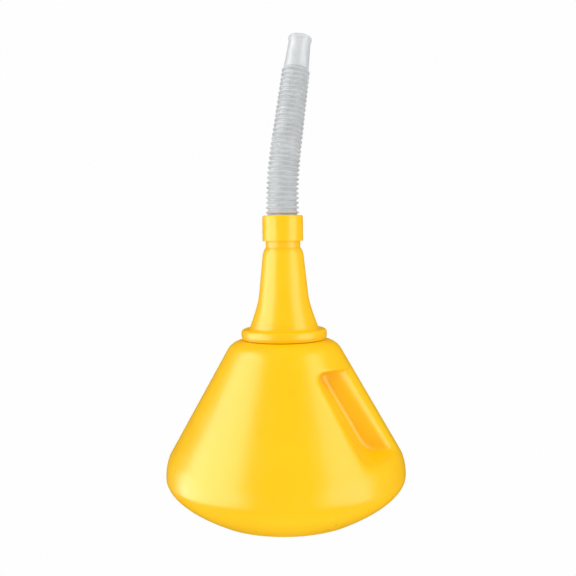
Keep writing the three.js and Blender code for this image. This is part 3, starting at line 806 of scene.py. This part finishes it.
def joined(name, solids):
    """One mesh from several solids, joined by booleans; the separate ones are removed."""
    body = solids[0]
    for other in solids[1:]:
        union = body.modifiers.new("join", "BOOLEAN")
        union.operation = "UNION"
        union.solver = "EXACT"
        union.object = other
    bpy.context.view_layer.update()
    mesh = bpy.data.meshes.new_from_object(body.evaluated_get(bpy.context.evaluated_depsgraph_get()))
    mesh.name = name
    for piece in solids:
        bpy.data.objects.remove(piece, do_unlink=True)
    return mesh


def make_strainer(material, steel):
    foot_r = PLUG_R - SLIP
    seat_z = PLUG_BOTTOM_Z - GAP
    top = STRAINER_BOTTOM_Z + STRAINER_HEIGHT
    ring = rounded([
        (STRAINER_BORE_R, STRAINER_BOTTOM_Z, 0.3), (foot_r, STRAINER_BOTTOM_Z, 0.4), (foot_r, seat_z, 0.3),
        (STRAINER_R, seat_z, 0.2), (STRAINER_R, top, 0.4), (STRAINER_BORE_R, top, 0.4)], 4)
    grid = spun(ring, full_turn(96))
    solids = [solid("ring", grid.reshape(-1, 3), grid_faces(len(ring), 96))]
    # the bars end in the middle of the ring's wall; no two faces lie in one plane
    bar_length = 2 * STRAINER_BORE_R + STRAINER_WALL
    offset = 0.01
    along_x = (bar_length, STRAINER_BAR, STRAINER_BAR_DEPTH)
    along_y = (STRAINER_BAR, bar_length, STRAINER_BAR_DEPTH + offset)
    bar_centre = (0, 0, STRAINER_BOTTOM_Z + STRAINER_BAR_DEPTH / 2)
    for size in (along_x, along_y):
        solids.append(solid("bar", *beveled_box(size, bar_centre, 0.3)))
    tab_sink = 1
    tab_height = TAB_DROP + tab_sink
    tab_centre = (0, 0, STRAINER_BOTTOM_Z + tab_sink - tab_height / 2)
    tab = beveled_box((TAB_WIDTH, STRAINER_BAR + offset, tab_height), tab_centre, 0.5)
    solids.append(solid("tab", *tab))
    mesh = joined("strainer_ring", solids)
    mesh.materials.clear()
    mesh.materials.append(material)
    mesh.shade_smooth()
    mesh.set_sharp_from_angle(angle=math.radians(32))
    piece = bpy.data.objects.new("strainer_ring", mesh)
    bpy.context.collection.objects.link(piece)
    piece.modifiers.new("even_normals", "WEIGHTED_NORMAL").keep_sharp = True
    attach(piece, "strainer")
    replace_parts(piece, "strainer_frame")
    make_gauze(steel)


def make_gauze(material):
    """Plain-woven wires: each passes over one crossing wire and under the next."""
    level = (low("strainer_gauze") + high("strainer_gauze")) / 2
    radius = STRAINER_BORE_R - GAP
    reach = int(radius / WIRE_PITCH)
    sides = 6
    points, faces = [], []
    for way in (0, 1):
        for i in range(-reach, reach + 1):
            across = i * WIRE_PITCH
            half = math.sqrt(max(radius ** 2 - across ** 2, 0)) - 0.2
            if half < WIRE_PITCH:
                continue
            count = int(2 * half / WIRE_PITCH * 3) + 2
            first = len(points)
            for k in range(count):
                along = -half + 2 * half * k / (count - 1)
                weave = (-1) ** (i + way) * math.cos(math.pi * along / WIRE_PITCH)
                lift = level + weave * WIRE_R * 1.02
                for s in range(sides):
                    turn = 2 * math.pi * s / sides
                    side, z = WIRE_R * math.cos(turn), lift + WIRE_R * math.sin(turn)
                    points.append((along, across + side, z) if way == 0 else (across - side, along, z))
            faces += grid_faces(count, sides, wrap_rows=False, first=first)
            faces.append([first + s for s in range(sides)][::-1])
            faces.append([first + (count - 1) * sides + s for s in range(sides)])
    piece = make_piece("gauze_weave", points, faces, material, "strainer", sharp=70)
    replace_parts(piece, "strainer_gauze")


# ---------------------------------------------------------------- collar and washer


def make_collar(material):
    columns = 144
    sleeve_r = HOSE_SLEEVE_R + SLIP
    corners = [
        (COLLAR_BORE_R, COLLAR_Z, 0.4), (COLLAR_R, COLLAR_Z, 0.45), (COLLAR_R, COLLAR_TOP_Z, COLLAR_ROUND),
        (sleeve_r, COLLAR_TOP_Z, 0.4), (sleeve_r, COLLAR_CEILING_Z, 0.3),
        (COLLAR_BORE_R, COLLAR_CEILING_Z, 0)]
    outline = [np.array(p) for p in rounded(corners, 6)]
    outline += straight((COLLAR_BORE_R, COLLAR_CEILING_Z), (COLLAR_BORE_R, COLLAR_Z + 0.4), 0.25)[:-1]
    outline = np.array(outline)
    angles = full_turn(columns)
    grid = spun(outline, angles)
    radius = np.hypot(grid[..., 0], grid[..., 1])
    z = grid[..., 2]
    on_bore = (np.abs(radius - COLLAR_BORE_R) < 0.02) & (z > COLLAR_Z + 0.5) & (z < COLLAR_CEILING_Z - 0.1)
    height = ridge_height(angles[None, :], z, THREAD_Z + THREAD_PITCH / 2)
    grow = 1 - np.where(on_bore, height, 0) * THREAD_DEPTH / COLLAR_BORE_R
    grid[..., 0] *= grow
    grid[..., 1] *= grow
    piece = make_piece("collar_body", grid.reshape(-1, 3), grid_faces(len(outline), columns), material,
                       "collar")
    piece.modifiers.new("even_normals", "WEIGHTED_NORMAL").keep_sharp = True
    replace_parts(piece, "collar_nut")


def make_washer(material):
    bottom, top = low("hose_washer"), high("hose_washer")
    outline = rounded([
        (NECK_BORE_R, bottom, 0.25), (THREAD_CORE_R, bottom, 0.3),
        (THREAD_CORE_R, top, 0.3), (NECK_BORE_R, top, 0.25)], 4)
    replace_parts(spun_piece("washer_ring", outline, 96, material, "hose_seat"), "hose_washer")


# ---------------------------------------------------------------- corrugated hose

HOSE_LENGTH = HOSE_RIBS * RIB_PITCH


def lean_at(s):
    t = min(1, max(0, (s - BEND_START) / (BEND_END - BEND_START)))
    return BEND_TOTAL * t * t * (3 - 2 * t)


def hose_spine(places):
    """The centreline's point and its direction at each distance along the hose from its first rib."""
    toward = np.array([math.cos(BEND_AZIMUTH), math.sin(BEND_AZIMUTH), 0.0])
    step = 0.02
    fine = np.arange(0, max(places) + step, step)
    leans = np.array([lean_at(s + step / 2) for s in fine])
    sideways = np.concatenate([[0], np.cumsum(np.sin(leans)) * step])
    upward = np.concatenate([[0], np.cumsum(np.cos(leans)) * step])
    spine = []
    for s in places:
        if s <= 0:
            spine.append((np.array([0, 0, HOSE_BASE_Z + s]), 0.0))
            continue
        at = s / step
        i = min(int(at), len(fine) - 1)
        out = sideways[i] + (sideways[i + 1] - sideways[i]) * (at - i)
        rise = upward[i] + (upward[i + 1] - upward[i]) * (at - i)
        spine.append((toward * out + np.array([0, 0, HOSE_BASE_Z + rise]), lean_at(s)))
    return spine


def crest_radius(s):
    return HOSE_FOOT_CREST_R + (HOSE_TIP_CREST_R - HOSE_FOOT_CREST_R) * s / HOSE_LENGTH


def rib_radius(s):
    """Narrow rounded crests with wider roots between them."""
    phase = s / RIB_PITCH % 1
    wave = (1 - math.cos(2 * math.pi * phase)) / 2
    return crest_radius(s) - RIB_DEPTH * (1 - wave ** 1.5)


def ribbed(start, end, steps_per_rib=14):
    count = round((end - start) / RIB_PITCH * steps_per_rib)
    places = [start + (end - start) * k / count for k in range(count + 1)]
    return [(rib_radius(s), s) for s in places]


def inner_wall(path):
    return [(r - HOSE_WALL, s) for r, s in path][::-1]


def hose_foot_outline(end):
    bottom, top = -HOSE_SLEEVE - HOSE_FLANGE_THICKNESS, -HOSE_SLEEVE
    ribs = ribbed(RIB_PITCH * 0.12, end)
    flange = rounded([
        (HOSE_BORE_R, bottom, 0.2), (HOSE_FLANGE_R, bottom, 0.3), (HOSE_FLANGE_R, top, 0.3),
        (HOSE_SLEEVE_R, top, 0), (HOSE_SLEEVE_R, 0, 0)], 3)[:-1]
    return [tuple(p) for p in flange] + [(HOSE_SLEEVE_R, -0.4)] + ribs + inner_wall(ribs)


def cuff_outline(start):
    foot = HOSE_LENGTH
    top = foot + CUFF_LENGTH
    lip = top - CUFF_LIP_HEIGHT
    ribs = ribbed(start, foot - RIB_PITCH * 0.12)
    foot_r = CUFF_FOOT_R - 0.1
    cuff = bezier(ribs[-1], (foot_r, foot - 0.1), (foot_r, foot + 1.2), 5)
    cuff += straight(cuff[-1], (CUFF_TOP_R, lip), 1.2)
    cuff += bezier(cuff[-1], (CUFF_TOP_R, lip + 0.5), (CUFF_LIP_R, lip + 0.8), 4)
    cuff += straight(cuff[-1], (CUFF_LIP_R, top - 0.8), 0.6)
    cuff += bezier(cuff[-1], (CUFF_LIP_R, top), (CUFF_LIP_R - 0.8, top), 5)
    cuff += straight(cuff[-1], (CUFF_TOP_R - CUFF_WALL + 0.3, top), 0.5)
    cuff += bezier(cuff[-1], (CUFF_TOP_R - CUFF_WALL, top), (CUFF_TOP_R - CUFF_WALL, top - 0.3), 3)
    cuff += straight(cuff[-1], (CUFF_TOP_R - CUFF_WALL, lip), 1.0)
    cuff += straight(cuff[-1], (CUFF_FOOT_R - CUFF_WALL, foot + 1.2), 1.5)
    return ribs + [tuple(p) for p in cuff] + inner_wall(ribs)


def make_hose(material):
    """Eight lengths of one hose, cut in the roots between hinges, laid along one gently bent centreline."""
    section = SECTION_RIBS * RIB_PITCH
    first_hinge = FOOT_RIBS * RIB_PITCH
    cuts = [first_hinge + section * (k + 0.5) for k in range(SECTIONS)]
    bodies = ["hose_foot"] + [f"hose_section_{k}" for k in range(1, SECTIONS + 1)] + ["hose_tip"]
    toward = np.array([math.cos(BEND_AZIMUTH), math.sin(BEND_AZIMUTH), 0.0])
    aside = np.array([-math.sin(BEND_AZIMUTH), math.cos(BEND_AZIMUTH), 0.0])
    angles = full_turn(72)
    for k in range(SECTIONS + 1):
        if k == 0:
            outline = hose_foot_outline(cuts[0])
        elif k == SECTIONS:
            outline = cuff_outline(cuts[-1])
        else:
            ribs = ribbed(cuts[k - 1], cuts[k])
            outline = ribs + inner_wall(ribs)
        grid = []
        for (radius, _), (centre, lean) in zip(outline, hose_spine([s for _, s in outline])):
            tilted = toward * math.cos(lean) - np.array([0, 0, math.sin(lean)])
            ring = centre + radius * (np.cos(angles)[:, None] * tilted + np.sin(angles)[:, None] * aside)
            grid.append(ring)
        points = np.array(grid).reshape(-1, 3)
        piece = make_piece(f"hose_length_{k + 1}", points, grid_faces(len(outline), len(angles)), material,
                           sharp=50)
        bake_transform(piece)
        replaced = [bodies[k]] if k < SECTIONS else [bodies[k], bodies[k + 1]]
        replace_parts(piece, *replaced)


# ---------------------------------------------------------------- the scene

add_camera()
add_studio()
make_bowl(yellow_plastic("bowl_yellow", 1.1, (1, 1, 0.5), 0.27, 0.33))
spout_yellow = yellow_plastic("spout_yellow", 0.8, (1, 1, 0.35), 0.27, 0.35)
collar_yellow = yellow_plastic("collar_yellow", 0.7, (1, 1, 0.6), 0.25, 0.33)
rubber = black_rubber()
make_spout(spout_yellow)
make_seal(rubber)
make_strainer(natural_plastic(), woven_steel())
make_collar(collar_yellow)
make_washer(rubber)
make_hose(frosted_plastic())
